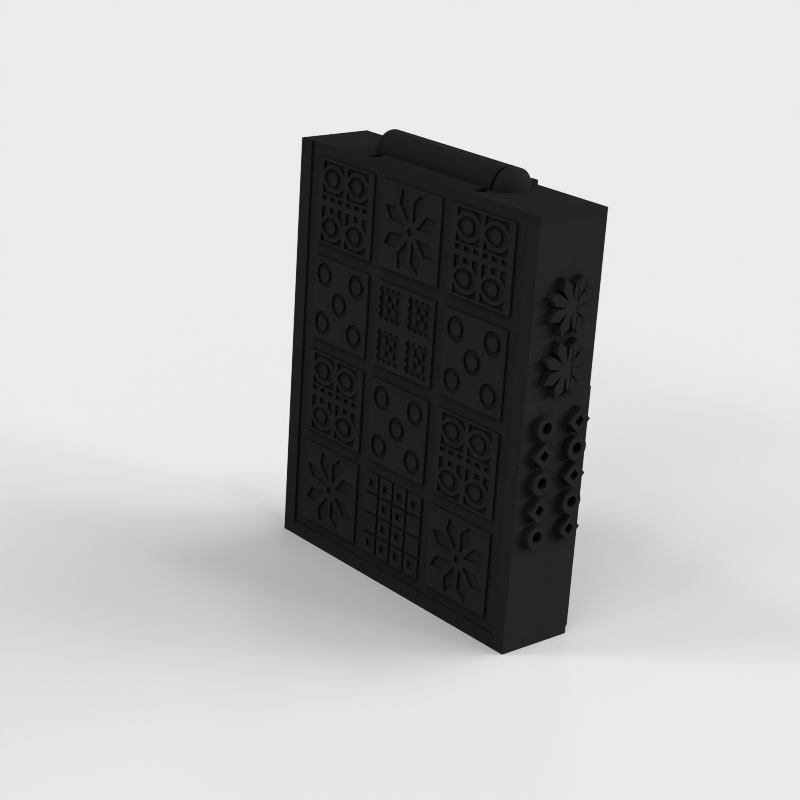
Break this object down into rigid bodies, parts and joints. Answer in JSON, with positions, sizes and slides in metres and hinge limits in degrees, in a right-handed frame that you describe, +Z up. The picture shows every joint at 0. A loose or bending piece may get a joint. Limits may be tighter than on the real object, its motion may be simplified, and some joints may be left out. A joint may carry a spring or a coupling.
{
  "type": "folding board game case",
  "caption": "Hinged slab case that opens into a two-block game board of patterned square tiles, with counters and pyramid dice stored inside.",
  "frame": {"origin": "middle of the closed case's bottom face, midway across the width and across the depth of its plain faces", "axes": "+X along the hinge to the right as seen from the side with twelve squares, +Y from that side to the side with eight squares, +Z up to the hinge"},
  "size_m": [0.123, 0.0292, 0.1549],
  "materials": {
    "case_plastic": "near-black printed plastic with fine layer lines and a satin sheen",
    "square_plastic": "near-black printed plastic, printed face down so the face is smooth and slightly glossier",
    "store_plastic": "dark grey printed plastic with layer lines",
    "light_counter_plastic": "ivory printed plastic, concentric lines on the faces",
    "dark_counter_plastic": "dark blue printed plastic, concentric lines on the faces",
    "die_plastic": "ivory printed plastic with blunted corners",
    "pin_steel": "drawn steel wire",
    "magnet_plating": "nickel plating"
  },
  "bodies": {
    "front_half": {"front_case": "case_plastic", "square_a1": "square_plastic", "square_b1": "square_plastic", "square_c1": "square_plastic", "square_a2": "square_plastic", "square_b2": "square_plastic", "square_c2": "square_plastic", "square_a3": "square_plastic", "square_b3": "square_plastic", "square_c3": "square_plastic", "square_a4": "square_plastic", "square_b4": "square_plastic", "square_c4": "square_plastic", "front_magnets": "magnet_plating", "front_ornament": "case_plastic", "counter_rack": "store_plastic", "dice_tray": "store_plastic", "light_counter_1": "light_counter_plastic", "light_counter_2": "light_counter_plastic", "light_counter_3": "light_counter_plastic", "light_counter_4": "light_counter_plastic", "light_counter_5": "light_counter_plastic", "light_counter_6": "light_counter_plastic", "light_counter_7": "light_counter_plastic", "dark_counter_1": "dark_counter_plastic", "dark_counter_2": "dark_counter_plastic", "dark_counter_3": "dark_counter_plastic", "dark_counter_4": "dark_counter_plastic", "dark_counter_5": "dark_counter_plastic", "dark_counter_6": "dark_counter_plastic", "dark_counter_7": "dark_counter_plastic", "die_1": "die_plastic", "die_2": "die_plastic", "die_3": "die_plastic", "die_4": "die_plastic"},
    "back_half": {"back_case": "case_plastic", "square_b5": "square_plastic", "square_b6": "square_plastic", "square_a7": "square_plastic", "square_b7": "square_plastic", "square_c7": "square_plastic", "square_a8": "square_plastic", "square_b8": "square_plastic", "square_c8": "square_plastic", "hinge_pin": "pin_steel", "pin_plug": "case_plastic", "back_magnets": "magnet_plating", "back_ornament": "case_plastic"}
  },
  "joints": [
    {"name": "fold", "type": "hinge", "parent": "front_half", "child": "back_half", "pos_m": [0, 0.0022, 0.1477], "axis": [1, 0, 0], "range_deg": [0, 180]}
  ]
}
